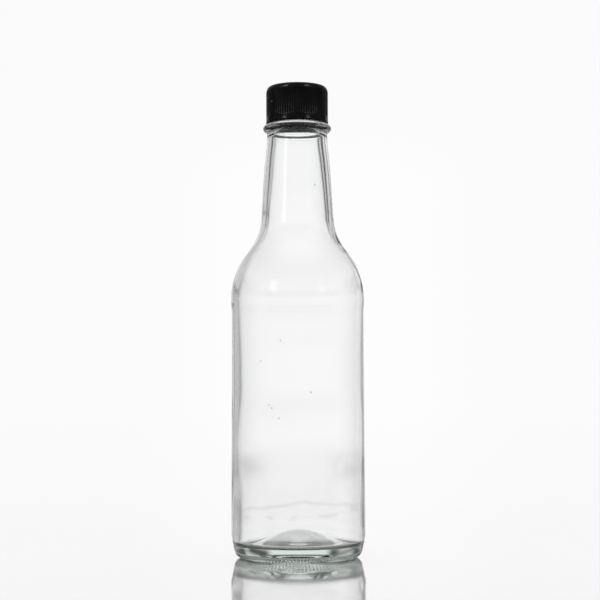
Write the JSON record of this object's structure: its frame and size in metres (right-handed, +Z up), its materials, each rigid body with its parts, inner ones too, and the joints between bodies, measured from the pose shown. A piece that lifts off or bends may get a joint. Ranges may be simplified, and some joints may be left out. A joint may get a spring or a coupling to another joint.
{
  "type": "sauce bottle",
  "caption": "Empty clear glass sauce bottle with a straight body, round shoulder, tapered neck and beaded rim, closed by a ribbed black screw cap.",
  "frame": {"origin": "centre of the flat ring that the bottle stands on, at the bottom of its box", "axes": "+Z up along the bottle; the front seen in the picture faces -Y, with the thicker side of the wall at -X"},
  "size_m": [0.0584, 0.0584, 0.2058],
  "materials": {
    "clear_glass": "clear, smooth and glossy",
    "black_plastic": "black moulded plastic, semi-gloss, finely ribbed"
  },
  "bodies": {
    "root": {"glass_bottle": "clear_glass", "screw_cap": "black_plastic"}
  },
  "joints": []
}
